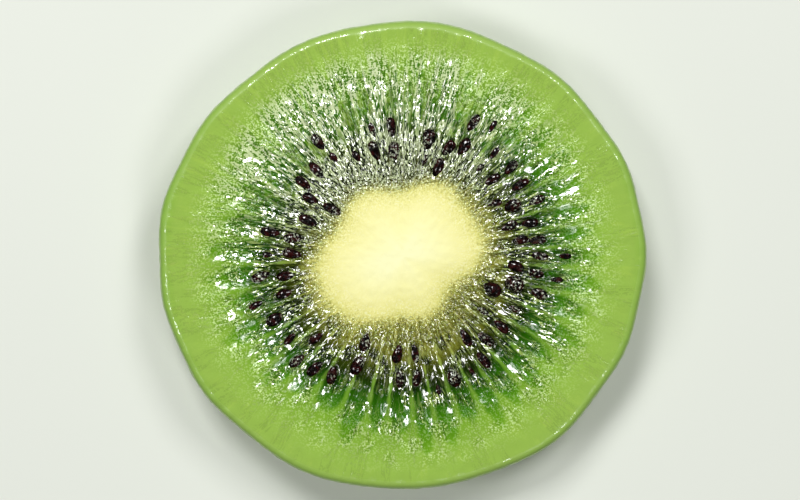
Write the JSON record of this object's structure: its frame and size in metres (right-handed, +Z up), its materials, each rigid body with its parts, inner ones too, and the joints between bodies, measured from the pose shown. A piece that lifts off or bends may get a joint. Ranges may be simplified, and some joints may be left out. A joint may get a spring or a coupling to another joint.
{
  "type": "kiwi slice",
  "caption": "Round slice of fresh peeled kiwi fruit: green flesh with pale rays and small dark seeds round a pale core, cut face up, on a flat underside.",
  "frame": {"origin": "middle of the slice's box, on its flat underside", "axes": "+Z up through the slice's thickness, towards the cut face that shows; +X along the longer side of its oval outline"},
  "size_m": [0.0494, 0.0474, 0.0076],
  "materials": {
    "flesh": "wet, juicy green fruit flesh with pale rays and shiny dark brown seeds",
    "core": "moist, finely grained cream fruit core"
  },
  "bodies": {
    "root": {"flesh": "flesh", "core": "core"}
  },
  "joints": []
}
